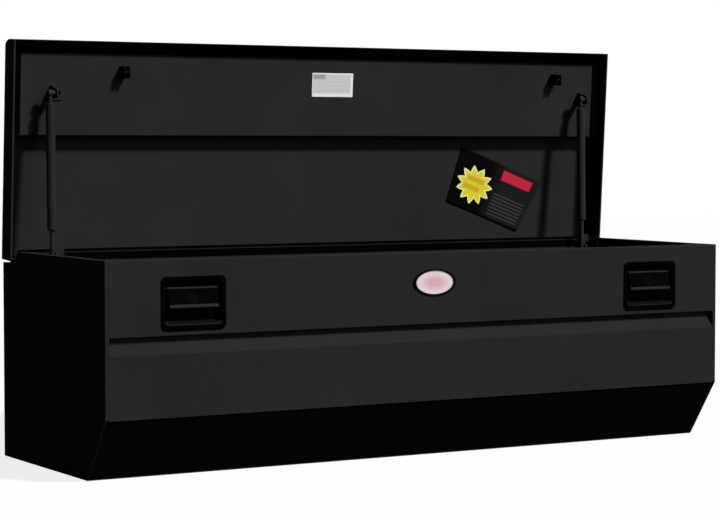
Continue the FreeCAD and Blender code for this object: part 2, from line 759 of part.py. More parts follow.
def paddle(x):
    half = PADDLE_W / 2
    outline = [
        PADDLE_TOP + (1.5,),
        PADDLE_SHIN + (3.0,),
        (-271.0, 346.5, 1.6),
        (-271.0, 342.5, 1.2),
        (-266.5, 342.5, 1.0),
        (-264.0, 350.0, 2.0),
        (-256.0, 386.0, 1.0),
    ]
    plate = section(outline, x - half, x + half)
    barrel = rod_x(x - half, x + half, PADDLE_PIN_Y, PADDLE_PIN_Z, BARREL_R)
    web = box(x - half, x + half, -257.0, PADDLE_PIN_Y, 381.0, 386.0)
    arm = box(x + ARM_DX[0], x + ARM_DX[1], -260.0, ARM_TIP_Y, ARM_Z[0], ARM_Z[1])
    low, high = ARM_Z
    cheek_outline = [(-265.0, 356.0), (-259.5, 356.0), (-249.0, low), (-249.0, high), (-258.5, high)]
    cheek = section(cheek_outline, x + ARM_DX[0], x + ARM_DX[1])
    body = fuse([plate, barrel, web, arm, cheek])
    lock_hole = rod_y(0.0, -12.0, 6.0, 0.0, LOCK_R + 0.08)
    tools = [
        rod_x(x - half - 1, x + half + 1, PADDLE_PIN_Y, PADDLE_PIN_Z, PADDLE_PIN_R + 0.05),
        on_paddle_face(lock_hole, x),
        box(x + SPRING_DX[0], x + SPRING_DX[1], -255.9, PADDLE_PIN_Y + 6, 378.0, PADDLE_PIN_Z + 6),
    ]
    return cut(body, tools)


def paddle_pin(x):
    reach = MOUTH_W / 2 - 3.5
    return rod_x(x - reach, x + reach, PADDLE_PIN_Y, PADDLE_PIN_Z, PADDLE_PIN_R)


def paddle_spring(x):
    turns = 6
    pitch = 1.5
    radius = 3.2
    helix = Part.makeHelix(pitch, pitch * turns, radius)
    start = helix.Vertexes[0].Point
    profile = Part.Wire([Part.makeCircle(0.5, start, V(0, 1, 0))])
    coil = Part.Wire(helix).makePipeShell([profile], True, True)
    coil.rotate(V(0, 0, 0), V(0, 1, 0), 90)
    coil.translate(V(x + SPRING_DX[0] + 1.5, PADDLE_PIN_Y, PADDLE_PIN_Z))
    return coil


def lock_plug(x):
    plug = rod_y(0.0, -0.8, 11.0, 0.0, LOCK_R)
    plug = plug.makeFillet(0.6, [e for e in plug.Edges if near(e.BoundBox.YMax, -0.8)])
    collar = rod_y(0.0, 3.7, 5.4, 0.0, LOCK_R + 1.6)
    cam = box(-4.0, 14.0, 11.0, 13.0, -4.5, 4.5)
    body = fuse([plug, collar, cam])
    body = body.cut(box(-0.8, 0.8, -2.0, 6.0, -4.0, 4.0))
    return on_paddle_face(body, x)


# Catch hook, its bracket and pin
def catch_bracket(x):
    low, high = 330.0, 358.0
    foot = box(x + ARM_DX[0] - 4.0, x + EAR_X[1], RECESS_BACK_Y, RECESS_BACK_Y + BRACKET_T, low, high)
    ear_outline = [
        (RECESS_BACK_Y, low),
        (HOOK_Y - 24.0, low, 6.0),
        (HOOK_Y + 8.0, HOOK_Z - 12.0, 10.0),
        (HOOK_Y + 10.0, HOOK_Z + 4.0, 8.0),
        (HOOK_Y - 2.0, HOOK_Z + 11.0, 8.0),
        (HOOK_Y - 14.0, HOOK_Z, 8.0),
        (RECESS_BACK_Y, high),
    ]
    ear = section(ear_outline, x + EAR_X[0], x + EAR_X[1])
    tools = [rod_x(x + EAR_X[0] - 1, x + EAR_X[1] + 1, HOOK_Y, HOOK_Z, HOOK_PIN_R)]
    for z in BRACKET_STUD_Z:
        tools.append(rod_y(x + BRACKET_STUD_DX, RECESS_BACK_Y - 1, RECESS_BACK_Y + 4, z, STUD_R))
    return cut(fuse([foot, ear]), tools)


def catch_pin(x):
    inner = x + CATCH_DX - HOOK_T / 2
    pin = rod_x(inner - 0.4, x + EAR_X[1] + 1.0, HOOK_Y, HOOK_Z, HOOK_PIN_R)
    head = rod_x(inner - 2.4, inner - 0.4, HOOK_Y, HOOK_Z, HOOK_PIN_R + 2.5)
    tail = rod_x(x + EAR_X[1], x + EAR_X[1] + 1.0, HOOK_Y, HOOK_Z, HOOK_PIN_R + 1.5)
    return fuse([pin, head, tail])


def catch_hook(x):
    nose_z = HINGE_Z - STRIKER_B + STRIKER_R + 0.45
    outline = [
        (HOOK_Y - 10.0, nose_z + 7.0, 3.0),
        (HOOK_Y - 3.0, nose_z + 10.0, 2.0),
        (HOOK_Y + 7.0, nose_z + 1.5, 0.8),
        (HOOK_Y + 7.0, nose_z),
        (HOOK_Y - 0.6, nose_z, 1.5),
        (HOOK_Y - 0.6, nose_z - 14.0, 6.0),
        (HOOK_Y + 9.0, HOOK_Z + 6.0, 5.0),
        (HOOK_Y + 9.0, HOOK_Z - 9.0, 8.0),
        (HOOK_Y - 4.0, HOOK_Z - 17.0, 5.0),
        (TAB_Y[0], TAB_Z[0]),
        (TAB_Y[0], TAB_Z[1]),
        (HOOK_Y - 10.0, TAB_Z[1], 3.0),
    ]
    x0 = x + CATCH_DX - HOOK_T / 2
    x1 = x + CATCH_DX + HOOK_T / 2
    plate = section(outline, x0, x1)
    tab = box(x + ARM_DX[0], x0, TAB_Y[0], TAB_Y[1], TAB_Z[0], TAB_Z[1])
    body = fuse([plate, tab])
    return body.cut(rod_x(x0 - 1, x1 + 1, HOOK_Y, HOOK_Z, HOOK_PIN_R + 0.05))


# Struts
def strut_body_bracket(x):
    ear_outline = [
        (UPSTAND_Y, BRACKET_TOP_Z),
        (UPSTAND_Y, STRUT_BODY_Z - 9.0, 3.0),
        (STRUT_BODY_Y - 9.0, STRUT_BODY_Z - 9.0, 7.0),
        (STRUT_BODY_Y - 9.0, STRUT_BODY_Z + 9.0, 7.0),
        (UPSTAND_Y - 8.0, BRACKET_TOP_Z, 4.0),
    ]
    ear = section(ear_outline, x + EAR_DX[0], x + EAR_DX[1])
    foot_low = BRACKET_BOLT_Z - 12.0
    foot = box(x + EAR_DX[0], x + FOOT_DX, UPSTAND_Y - 3.0, UPSTAND_Y, foot_low, BRACKET_TOP_Z)
    stud = rod_x(x + 5.4, x + EAR_DX[1], STRUT_BODY_Y, STRUT_BODY_Z, STRUT_PIN_R)
    bracket = fuse([ear, foot, stud])
    tools = [rod_y(x + dx, UPSTAND_Y - 4, UPSTAND_Y + 1, BRACKET_BOLT_Z, BOLT_R) for dx in BRACKET_BOLT_DX]
    return cut(bracket, tools)


def strut_body_bolts():
    bolts = []
    for x in STRUT_X:
        for dx in BRACKET_BOLT_DX:
            at = V(x + dx, UPSTAND_Y - 3.0, BRACKET_BOLT_Z)
            shank = rod_y(at.x, at.y, UPSTAND_Y + BODY_T, at.z, BOLT_R)
            bolts.append(fuse([hexagon(at, V(0, -1, 0), 8.0, 3.5), shank]))
    return Part.makeCompound(bolts)


def strut_lid_bracket(x):
    ear_outline = [
        (STRUT_LID_A - 16.0, PAN_B),
        (STRUT_LID_A + 16.0, PAN_B),
        (STRUT_LID_A + 9.0, STRUT_LID_B + 9.0, 7.0),
        (STRUT_LID_A - 9.0, STRUT_LID_B + 9.0, 7.0),
    ]
    ear = section(ear_outline, x + EAR_DX[0], x + EAR_DX[1])
    foot = box(x + EAR_DX[0], x + FOOT_DX, STRUT_LID_A - 16.0, STRUT_LID_A + 16.0, PAN_B, PAN_B + 3.0)
    pin = rod_x(x - 6.5, x + EAR_DX[1], STRUT_LID_A, STRUT_LID_B, STRUT_PIN_R)
    shoulder = rod_x(x + 5.4, x + EAR_DX[1], STRUT_LID_A, STRUT_LID_B, STRUT_PIN_R + 1.6)
    bracket = fuse([ear, foot, pin, shoulder])
    tools = [rod_z(x + dx, STRUT_LID_A, PAN_B - 1, PAN_B + 4, BOLT_R) for dx in BRACKET_BOLT_DX]
    return to_open_lid(cut(bracket, tools))


def strut_lid_bolts():
    bolts = []
    for x in STRUT_X:
        for dx in BRACKET_BOLT_DX:
            at = V(x + dx, STRUT_LID_A, PAN_B + 3.0)
            shank = rod_z(at.x, at.y, PAN_B - PAN_T, PAN_B + 3.0, BOLT_R)
            bolts.append(fuse([hexagon(at, V(0, 0, 1), 8.0, 3.5), shank]))
    return to_open_lid(Part.makeCompound(bolts))


def strut_pivots():
    s = math.sin(LEAN)
    c = math.cos(LEAN)
    lid_y = HINGE_Y - s * STRUT_LID_A - c * STRUT_LID_B
    lid_z = HINGE_Z + c * STRUT_LID_A - s * STRUT_LID_B
    return V(0, lid_y, lid_z), V(0, STRUT_BODY_Y, STRUT_BODY_Z)


def place_strut(shape, x):
    """Move a shape drawn along +Z from the lid pivot so that +Z points at the body pivot."""
    top, foot = strut_pivots()
    turn = FreeCAD.Rotation(V(0, 0, 1), foot - top)
    moved = shape.copy()
    moved.Placement = FreeCAD.Placement(V(x, top.y, top.z), turn)
    return moved


def round_ends(shape, radius):
    """Round the circular end edges of a cylinder."""
    edges = [e for e in shape.Edges if isinstance(e.Curve, Part.Circle)]
    return shape.makeFillet(radius, edges)


def strut_tube(x):
    end = TUBE_START + TUBE_LENGTH
    eye = rod_x(-5.0, 5.0, 0.0, 0.0, EYE_R)
    neck = rod_z(0, 0, 0.0, TUBE_START + 1.0, 5.0)
    tube = round_ends(rod_z(0, 0, TUBE_START, end, TUBE_R), 2.0)
    tools = [
        rod_z(0, 0, TUBE_START + 8.0, end - 12.0, TUBE_BORE_R),
        rod_z(0, 0, end - 13.0, end + 1.0, ROD_R + 0.08),
        rod_x(-8, 8, 0.0, 0.0, STRUT_PIN_R + 0.05),
    ]
    return place_strut(cut(fuse([eye, neck, tube]), tools), x)


def strut_rod(x):
    top, foot = strut_pivots()
    length = (foot - top).Length
    boss = rod_x(-5.0, 5.0, 0.0, length, EYE_R)
    neck = rod_z(0, 0, length - ROD_FITTING, length, 5.0)
    rod = rod_z(0, 0, length - PISTON_FROM_BODY, length - ROD_FITTING + 1.0, ROD_R)
    start = length - PISTON_FROM_BODY
    piston = rod_z(0, 0, start - 10.0, start + 1.0, TUBE_BORE_R - 0.08)
    return place_strut(fuse([boss, neck, rod, piston]), x)


SIDES = (("left", 0, -1), ("right", 1, 1))

nodes = {
    "front_panel": front_panel(),
    "kick_panel": kick_panel(),
    "floor_panel": floor_panel(),
    "back_panel": back_panel(),
    "hinge_ledge": hinge_ledge(),
    "rear_rim": rear_rim(),
    "rim_seal": rim_seal(),
    "badge_plate": badge_plate(),
    "hinge_body_leaf": hinge_body_leaf(),
    "hinge_pin": hinge_pin(),
    "hinge_body_rivets": hinge_body_rivets(),
    "strut_body_bolts": strut_body_bolts(),
    "lid_skin": lid_skin(),
    "lid_inner_pan": lid_inner_pan(),
    "lid_seal": lid_seal(),
    "hinge_lid_leaf": hinge_lid_leaf(),
    "hinge_lid_rivets": hinge_lid_rivets(),
    "striker_rivets": striker_rivets(),
    "strut_lid_bolts": strut_lid_bolts(),
    "lid_label": lid_label(),
    "lid_card": lid_card(),
}

for name, index, side in SIDES:
    latch_x = LATCH_X[index]
    strut_x = STRUT_X[index]
    nodes["end_panel_" + name] = end_panel(side)
    nodes["latch_pan_" + name] = latch_pan(latch_x)
    nodes["latch_gasket_" + name] = latch_gasket(latch_x)
    nodes["latch_nuts_" + name] = latch_nuts(latch_x)
    nodes["catch_bracket_" + name] = catch_bracket(latch_x)
    nodes["catch_pin_" + name] = catch_pin(latch_x)
    nodes["catch_hook_" + name] = catch_hook(latch_x)
    nodes["paddle_" + name] = paddle(latch_x)
    nodes["paddle_pin_" + name] = paddle_pin(latch_x)
    nodes["paddle_spring_" + name] = paddle_spring(latch_x)
    nodes["lock_plug_" + name] = lock_plug(latch_x)
    nodes["striker_" + name] = striker(latch_x)
    nodes["strut_body_bracket_" + name] = strut_body_bracket(strut_x)
    nodes["strut_lid_bracket_" + name] = strut_lid_bracket(strut_x)
    nodes["strut_rod_" + name] = strut_rod(strut_x)
    nodes["strut_tube_" + name] = strut_tube(strut_x)

for name, shape in nodes.items():
    save(name, shape)
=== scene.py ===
import json
import math

import bpy
import numpy as np
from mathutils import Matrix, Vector


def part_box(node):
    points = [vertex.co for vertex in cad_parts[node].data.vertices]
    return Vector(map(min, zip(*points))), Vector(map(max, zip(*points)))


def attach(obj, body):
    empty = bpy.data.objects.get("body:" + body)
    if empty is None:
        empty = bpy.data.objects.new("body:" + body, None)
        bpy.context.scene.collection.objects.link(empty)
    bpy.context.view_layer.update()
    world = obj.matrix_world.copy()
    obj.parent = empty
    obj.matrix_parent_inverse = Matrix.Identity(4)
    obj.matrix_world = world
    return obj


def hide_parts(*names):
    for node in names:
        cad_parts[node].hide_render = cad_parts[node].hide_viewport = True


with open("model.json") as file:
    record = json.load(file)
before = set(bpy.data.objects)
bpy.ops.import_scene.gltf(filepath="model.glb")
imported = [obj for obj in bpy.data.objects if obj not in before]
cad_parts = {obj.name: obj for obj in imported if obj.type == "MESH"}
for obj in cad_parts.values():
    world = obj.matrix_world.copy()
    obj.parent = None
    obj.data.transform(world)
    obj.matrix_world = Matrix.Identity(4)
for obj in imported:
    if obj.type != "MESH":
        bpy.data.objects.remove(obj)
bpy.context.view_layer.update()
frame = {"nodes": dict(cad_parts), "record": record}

nodes = frame["nodes"]

# Camera at the photograph's place: metres and degrees in the chest's frame
CAMERA_AT = (-2.602, -4.380, 0.668)
CAMERA_TURN = 30.446
CAMERA_DOWN = 2.845
CAMERA_FOCAL_PIXELS = 2298.0
PHOTO_WIDTH = 720.0
SENSOR_WIDTH = 36.0
VIEW_DEPTH = 60.0

# Lid frame at rest: hinge line, lean back, and the inside face that carries label and card
HINGE_Y = 0.197
HINGE_Z = 0.423
LID_LEAN = math.radians(3.7)
LID_INSIDE = -0.0550


def on_lid(x, up, out):
    """Point in the chest's frame: up the lid from the hinge line, and out from it to the front."""
    sine, cosine = math.sin(LID_LEAN), math.cos(LID_LEAN)
    return (x, HINGE_Y - sine * up - cosine * out, HINGE_Z + cosine * up - sine * out)


def add_object(name, data):
    made = bpy.data.objects.new(name, data)
    bpy.context.collection.objects.link(made)
    return made


def add_camera():
    data = bpy.data.cameras.new("camera")
    data.sensor_width = SENSOR_WIDTH
    data.lens = CAMERA_FOCAL_PIXELS / PHOTO_WIDTH * data.sensor_width
    data.clip_end = VIEW_DEPTH
    camera = add_object("camera", data)
    camera.location = CAMERA_AT
    camera.rotation_euler = (math.radians(90.0 - CAMERA_DOWN), 0.0, -math.radians(CAMERA_TURN))
    bpy.context.scene.camera = camera


# Small builders for shader trees

def new_group(name, inputs, outputs):
    """A shader node group with its entry and its exit; each socket is (name, socket type)."""
    group = bpy.data.node_groups.new(name, "ShaderNodeTree")
    for side, sockets in (("INPUT", inputs), ("OUTPUT", outputs)):
        for label, kind in sockets:
            group.interface.new_socket(label, in_out=side, socket_type=kind)
    return group, group.nodes.new("NodeGroupInput"), group.nodes.new("NodeGroupOutput")


def feed(tree, value, socket):
    """Link a socket, or set a plain number or colour."""
    if isinstance(value, (int, float)):
        socket.default_value = value
    elif isinstance(value, tuple):
        socket.default_value = (*value, 1.0)
    else:
        tree.links.new(value, socket)


def math_node(tree, operation, first, second=None, clamp=False):
    made = tree.nodes.new("ShaderNodeMath")
    made.operation = operation
    made.use_clamp = clamp
    feed(tree, first, made.inputs[0])
    if second is not None:
        feed(tree, second, made.inputs[1])
    return made.outputs[0]


def times(tree, first, second, clamp=False):
    return math_node(tree, "MULTIPLY", first, second, clamp)


def plus(tree, first, second, clamp=False):
    return math_node(tree, "ADD", first, second, clamp)


def minus(tree, first, second):
    return math_node(tree, "SUBTRACT", first, second)


def ramp(tree, factor, low, high, start=0.0, end=1.0):
    """A straight change from start at low to end at high, held flat outside."""
    made = tree.nodes.new("ShaderNodeMapRange")
    made.inputs["From Min"].default_value = low
    made.inputs["From Max"].default_value = high
    made.inputs["To Min"].default_value = start
    made.inputs["To Max"].default_value = end
    tree.links.new(factor, made.inputs["Value"])
    return made.outputs["Result"]


def noise(tree, where, scale, detail, rough):
    """Noise from 0 to 1 with scale in waves per metre, a plain number or a socket."""
    made = tree.nodes.new("ShaderNodeTexNoise")
    feed(tree, scale, made.inputs["Scale"])
    made.inputs["Detail"].default_value = detail
    made.inputs["Roughness"].default_value = rough
    tree.links.new(where, made.inputs["Vector"])
    return made.outputs["Fac"]


def blend(tree, factor, first, second):
    """Colour that goes from first to second with the factor; each is a colour or a socket."""
    made = tree.nodes.new("ShaderNodeMix")
    made.data_type = "RGBA"
    tree.links.new(factor, made.inputs[0])
    feed(tree, first, made.inputs[6])
    feed(tree, second, made.inputs[7])
    return made.outputs[2]


def within(tree, value, middle, half, soft):
    """1 where value is less than half away from middle, falling to 0 over the soft width."""
    away = math_node(tree, "ABSOLUTE", minus(tree, value, middle))
    return ramp(tree, away, half + 0.5 * soft, half - 0.5 * soft)


def box_mask(tree, across, up, middle, size, soft):
    """1 inside a rectangle given by its middle and size in metres."""
    wide = within(tree, across, middle[0], 0.5 * size[0], soft)
    tall = within(tree, up, middle[1], 0.5 * size[1], soft)
    return times(tree, wide, tall)


def object_place(tree):
    return tree.nodes.new("ShaderNodeTexCoord").outputs["Object"]


def face_normal(tree):
    return tree.nodes.new("ShaderNodeNewGeometry").outputs["Normal"]


def split_xyz(tree, vector):
    """The three parts of a vector, as outputs X, Y and Z."""
    made = tree.nodes.new("ShaderNodeSeparateXYZ")
    tree.links.new(vector, made.inputs[0])
    return made.outputs


# Noise patterns as (waves per metre, detail, roughness)
ORANGE_PEEL = (130.0, 1.0, 0.5)
TONE_DRIFT = (5.5, 4.0, 0.55)
WEAR_BREAKS = (42.0, 5.0, 0.65)
DUST_PATCHES = (9.0, 6.0, 0.6)
DUST_SPECKS = (480.0, 2.0, 0.6)
PLATING_CLOUD = (60.0, 5.0, 0.6)
PLATING_TOOTH = (900.0, 3.0, 0.5)
RUBBER_BLOOM = (35.0, 5.0, 0.6)
RUBBER_SKIN = (1500.0, 2.0, 0.5)
PAPER_FIBRE = (300.0, 4.0, 0.6)
PAPER_TOOTH = (900.0, 2.0, 0.5)

# Noise values between which a pattern goes from its first look to its second
MOST_OF_NOISE = (0.3, 0.7)
WEAR_BREAKS_BETWEEN = (0.42, 0.66)
DUST_PATCHES_BETWEEN = (0.35, 0.75)
DUST_SPECKS_BETWEEN = (0.62, 0.74)
RUBBER_BLOOM_BETWEEN = (0.35, 0.8)


# Effects that several materials share

GRAIN_DETAIL = (2.0, 0.5)
PEEL_SHARE = 1.6


def make_powder_grain():
    """Fine pebbled height of a baked powder coat, and the slow unevenness of its tone."""
    group, entry, leave = new_group(
        "powder_grain",
        [("Grain Scale", "NodeSocketFloat")],
        [("Height", "NodeSocketFloat"), ("Mottle", "NodeSocketFloat")],
    )
    where = object_place(group)
    fine = noise(group, where, entry.outputs["Grain Scale"], *GRAIN_DETAIL)
    peel = noise(group, where, *ORANGE_PEEL)
    height = plus(group, fine, times(group, peel, PEEL_SHARE))
    group.links.new(height, leave.inputs["Height"])
    group.links.new(noise(group, where, *TONE_DRIFT), leave.inputs["Mottle"])
    return group


# Cosine between a face's own and its rounded normal where the edge mark starts and where it is
# full; the mark is rubbed wear, and on the latches also a painted highlight
RUB_BEND = (0.985, 0.80)
BEVEL_SAMPLES = 6


def make_edge_wear_and_highlight():
    """Rounded-edge normal, and a mask of the edges that use has rubbed, broken up by noise; on the
    latches the same mask also carries a painted highlight.
    """
    group, entry, leave = new_group(
        "edge_wear_and_highlight_mask",
        [("Radius", "NodeSocketFloat"), ("Amount", "NodeSocketFloat")],
        [("Mask", "NodeSocketFloat"), ("Normal", "NodeSocketVector")],
    )
    bevel = group.nodes.new("ShaderNodeBevel")
    bevel.samples = BEVEL_SAMPLES
    group.links.new(entry.outputs["Radius"], bevel.inputs["Radius"])
    dot = group.nodes.new("ShaderNodeVectorMath")
    dot.operation = "DOT_PRODUCT"
    group.links.new(bevel.outputs["Normal"], dot.inputs[0])
    group.links.new(face_normal(group), dot.inputs[1])
    bend = ramp(group, dot.outputs["Value"], *RUB_BEND)
    breaks = noise(group, object_place(group), *WEAR_BREAKS)
    mask = times(group, bend, ramp(group, breaks, *WEAR_BREAKS_BETWEEN))
    mask = times(group, mask, entry.outputs["Amount"], clamp=True)
    group.links.new(mask, leave.inputs["Mask"])
    group.links.new(bevel.outputs["Normal"], leave.inputs["Normal"])
    return group


# Height of the normal from which dust starts to lie, and where it lies fully
DUST_UPWARD = (-0.3, 1.0)
SPECK_SHARE = 0.4


def make_dust_film():
    """Thin dust: more on faces that look up, patchy with soft noise, and a few specks."""
    group, entry, leave = new_group(
        "dust_film",
        [("Amount", "NodeSocketFloat")],
        [("Mask", "NodeSocketFloat")],
    )
    upward = ramp(group, split_xyz(group, face_normal(group))["Z"], *DUST_UPWARD)
    where = object_place(group)
    patches = ramp(group, noise(group, where, *DUST_PATCHES), *DUST_PATCHES_BETWEEN)
    specks = ramp(group, noise(group, where, *DUST_SPECKS), *DUST_SPECKS_BETWEEN)
    total = plus(group, times(group, upward, patches), times(group, specks, SPECK_SHARE))
    mask = times(group, total, entry.outputs["Amount"], clamp=True)
    group.links.new(mask, leave.inputs["Mask"])
    return group


# Height and depth of the normal from which a tipped face starts to get the painted sheen, a
# painted highlight, and where it is full
PAINTED_SHEEN_TIPPED = (0.30, 0.50)
PAINTED_SHEEN_FORWARD = (-0.20, -0.50)

# The paddle's top edge, where the painted sheen also lies, in height and depth, each as (middle,
# half size, soft width), metres
PADDLE_EDGE_Z = (0.3855, 0.0020, 0.0020)
PADDLE_EDGE_Y = (-0.2580, 0.0022, 0.0010)


def make_latch_painted_sheen():
    """Painted sheen: a painted highlight in the colour, standing in for gloss black showing the
    lamp above.

    It is painted on forward faces that tip upwards and along the paddle's top edge. The mask is
    the larger of the two.
    """
    group, entry, leave = new_group("latch_painted_sheen_mask", [], [("Mask", "NodeSocketFloat")])
    normal = split_xyz(group, face_normal(group))
    place = split_xyz(group, object_place(group))
    tipped = times(group, ramp(group, normal["Z"], *PAINTED_SHEEN_TIPPED),
                   ramp(group, normal["Y"], *PAINTED_SHEEN_FORWARD))
    edge = times(group, within(group, place["Z"], *PADDLE_EDGE_Z),
                 within(group, place["Y"], *PADDLE_EDGE_Y))
    group.links.new(math_node(group, "MAXIMUM", tipped, edge), leave.inputs["Mask"])
    return group


POWDER_GRAIN = make_powder_grain()
EDGE_WEAR_AND_HIGHLIGHT = make_edge_wear_and_highlight()
DUST_FILM = make_dust_film()
LATCH_PAINTED_SHEEN = make_latch_painted_sheen()


# Materials

DUST = (0.16, 0.155, 0.145)

# Surface relief as (strength, height in metres)
POWDER_RELIEF = (0.25, 0.0002)
PLATING_RELIEF = (0.12, 0.0001)
RUBBER_RELIEF = (0.2, 0.0001)
PAPER_RELIEF = (0.05, 0.0001)

# How far roughness strays from its middle: powder either way, plating up in its dark patches
# and down in its clear ones
POWDER_ROUGH_SPREAD = 0.06
PLATING_ROUGH_UP = 0.12
PLATING_ROUGH_DOWN = 0.08

RUBBER_SPECULAR = 0.005
RUBBER_ROUGH = 0.8
BLOOM_GAIN = 1.8


def place_group(tree, group, **values):
    """A group in a tree with its inputs set; a blank in an input's name is written _."""
    made = tree.nodes.new("ShaderNodeGroup")
    made.node_tree = group
    for key, value in values.items():
        made.inputs[key.replace("_", " ")].default_value = value
    return made


def new_material(name):
    material = bpy.data.materials.new(name)
    material.use_nodes = True
    tree = material.node_tree
    return material, tree, tree.nodes["Principled BSDF"]


def link_bump(tree, shader, height, relief, normal=None):
    bump = tree.nodes.new("ShaderNodeBump")
    bump.inputs["Strength"].default_value, bump.inputs["Distance"].default_value = relief
    tree.links.new(height, bump.inputs["Height"])
    if normal is not None:
        tree.links.new(normal, bump.inputs["Normal"])
    tree.links.new(bump.outputs["Normal"], shader.inputs["Normal"])


def powder_coat(name, tones, specular, rough, wear_and_highlight, dust, grain=620.0, edge=0.0012, painted_sheen=None):
    """Baked powder coat: pebbled, faintly mottled, rubbed at its edges, with a little dust.

    tones are the dark and light of the mottle and the rubbed edge; on the latches the edge tone is
    also a painted highlight. grain is in waves per metre and edge is the edges' radius in metres.
    painted_sheen is a mask group and the colour of a painted highlight laid on where its mask is
    1.
    """
    dark, light, edge_tone_worn_and_highlit = tones
    material, tree, shader = new_material(name)
    shader.inputs["Specular IOR Level"].default_value = specular
    grain_node = place_group(tree, POWDER_GRAIN, Grain_Scale=grain)
    edge_worn_and_highlit = place_group(tree, EDGE_WEAR_AND_HIGHLIGHT, Radius=edge, Amount=wear_and_highlight)
    film = place_group(tree, DUST_FILM, Amount=dust)
    mottle = ramp(tree, grain_node.outputs["Mottle"], *MOST_OF_NOISE)
    paint = blend(tree, mottle, dark, light)
    paint = blend(tree, edge_worn_and_highlit.outputs["Mask"], paint, edge_tone_worn_and_highlit)
    # Painted sheen: a painted highlight laid over the paint where its mask is 1
    if painted_sheen:
        group, painted_sheen_colour = painted_sheen
        paint = blend(tree, place_group(tree, group).outputs["Mask"], paint, painted_sheen_colour)
    paint = blend(tree, film.outputs["Mask"], paint, DUST)
    tree.links.new(paint, shader.inputs["Base Color"])
    shine = ramp(tree, grain_node.outputs["Mottle"], 0.0, 1.0,
                 rough - POWDER_ROUGH_SPREAD, rough + POWDER_ROUGH_SPREAD)
    tree.links.new(shine, shader.inputs["Roughness"])
    link_bump(tree, shader, grain_node.outputs["Height"], POWDER_RELIEF, edge_worn_and_highlit.outputs["Normal"])
    return material


def plated_steel(name, colour, dark_colour, rough):
    """Plated steel: cloudy passivation, duller in the dark patches, with a fine tooth."""
    material, tree, shader = new_material(name)
    shader.inputs["Metallic"].default_value = 1.0
    where = object_place(tree)
    cloud = ramp(tree, noise(tree, where, *PLATING_CLOUD), *MOST_OF_NOISE)
    tree.links.new(blend(tree, cloud, dark_colour, colour), shader.inputs["Base Color"])
    shine = ramp(tree, cloud, 0.0, 1.0, rough + PLATING_ROUGH_UP, rough - PLATING_ROUGH_DOWN)
    tree.links.new(shine, shader.inputs["Roughness"])
    link_bump(tree, shader, noise(tree, where, *PLATING_TOOTH), PLATING_RELIEF)
    return material


def soft_rubber(name, colour, dust):
    """Moulded rubber: matt, fine skin texture, greyish bloom."""
    material, tree, shader = new_material(name)
    shader.inputs["Specular IOR Level"].default_value = RUBBER_SPECULAR
    shader.inputs["Roughness"].default_value = RUBBER_ROUGH
    where = object_place(tree)
    bloom = ramp(tree, noise(tree, where, *RUBBER_BLOOM), *RUBBER_BLOOM_BETWEEN)
    film = place_group(tree, DUST_FILM, Amount=dust)
    paint = blend(tree, bloom, colour, tuple(BLOOM_GAIN * part for part in colour))
    paint = blend(tree, film.outputs["Mask"], paint, DUST)
    tree.links.new(paint, shader.inputs["Base Color"])
    link_bump(tree, shader, noise(tree, where, *RUBBER_SKIN), RUBBER_RELIEF)
    return material


def printed_sheet(name, print_group, rough, specular, haze):
    """Printed film or paper: the print's colour, clouded by up to haze, with a slight tooth."""
    material, tree, shader = new_material(name)
    shader.inputs["Roughness"].default_value = rough
    shader.inputs["Specular IOR Level"].default_value = specular
    where = object_place(tree)
    inks = place_group(tree, print_group)
    fibre = ramp(tree, noise(tree, where, *PAPER_FIBRE), *MOST_OF_NOISE, 0.0, haze)
    paint = blend(tree, fibre, inks.outputs["Color"], DUST)
    tree.links.new(paint, shader.inputs["Base Color"])
    link_bump(tree, shader, noise(tree, where, *PAPER_TOOTH), PAPER_RELIEF)
    return material


# Prints: plain shapes only, no wording

# Label: places and sizes as shares of its width and height, and widths in metres
LABEL_FIELD = (0.56, 0.56, 0.56)
LABEL_BORDER = (0.78, 0.78, 0.78)
LABEL_PATCH = (0.40, 0.28, 0.33)
LABEL_RULE = (0.44, 0.44, 0.44)
LABEL_FIELD_AT = (0.48, 0.54)
LABEL_FIELD_SIZE = (0.93, 0.80)
LABEL_PATCH_AT = (0.17, 0.84)
LABEL_PATCH_SIZE = (0.30, 0.20)
LABEL_RULES_ACROSS = 0.60
LABEL_RULES_UP = (0.62, 0.45, 0.28)
LABEL_RULE_LENGTH = 0.56
LABEL_RULE_WIDTH = 0.0012
LABEL_RULE_SOFT = 0.0015
LABEL_RULE_SHARE = 0.6
LABEL_SOFT = 0.004


def make_label_print():
    """Grey field in a pale border, with a tinted block at the upper left and three thin rules."""
    group, entry, leave = new_group("label_print", [], [("Color", "NodeSocketColor")])
    low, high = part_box("lid_label")
    wide, tall = high[0] - low[0], high[2] - low[2]
    place = split_xyz(group, object_place(group))
    across = minus(group, place["X"], low[0])
    up = minus(group, place["Z"], low[2])

    def block(middle, size):
        return box_mask(group, across, up, (middle[0] * wide, middle[1] * tall),
                        (size[0] * wide, size[1] * tall), LABEL_SOFT)

    ink = blend(group, block(LABEL_FIELD_AT, LABEL_FIELD_SIZE), LABEL_BORDER, LABEL_FIELD)
    for height in LABEL_RULES_UP:
        rule = box_mask(group, across, up, (LABEL_RULES_ACROSS * wide, height * tall),
                        (LABEL_RULE_LENGTH * wide, LABEL_RULE_WIDTH), LABEL_RULE_SOFT)
        ink = blend(group, times(group, rule, LABEL_RULE_SHARE), ink, LABEL_RULE)
    ink = blend(group, block(LABEL_PATCH_AT, LABEL_PATCH_SIZE), ink, LABEL_PATCH)
    group.links.new(ink, leave.inputs["Color"])
    return group


# Badge: its rim's width in metres, the rest as shares of its radius; the tint's share falls to 0
BADGE_ENAMEL = (0.72, 0.60, 0.64)
BADGE_TINT = (0.62, 0.30, 0.36)
BADGE_RIM = (0.0010, 0.0008, 0.0008)
BADGE_RIM_WIDTH = 0.0042
BADGE_RIM_SOFT = 0.03
BADGE_TINT_BETWEEN = (0.25, 0.70)
BADGE_TINT_SHARE = 0.75


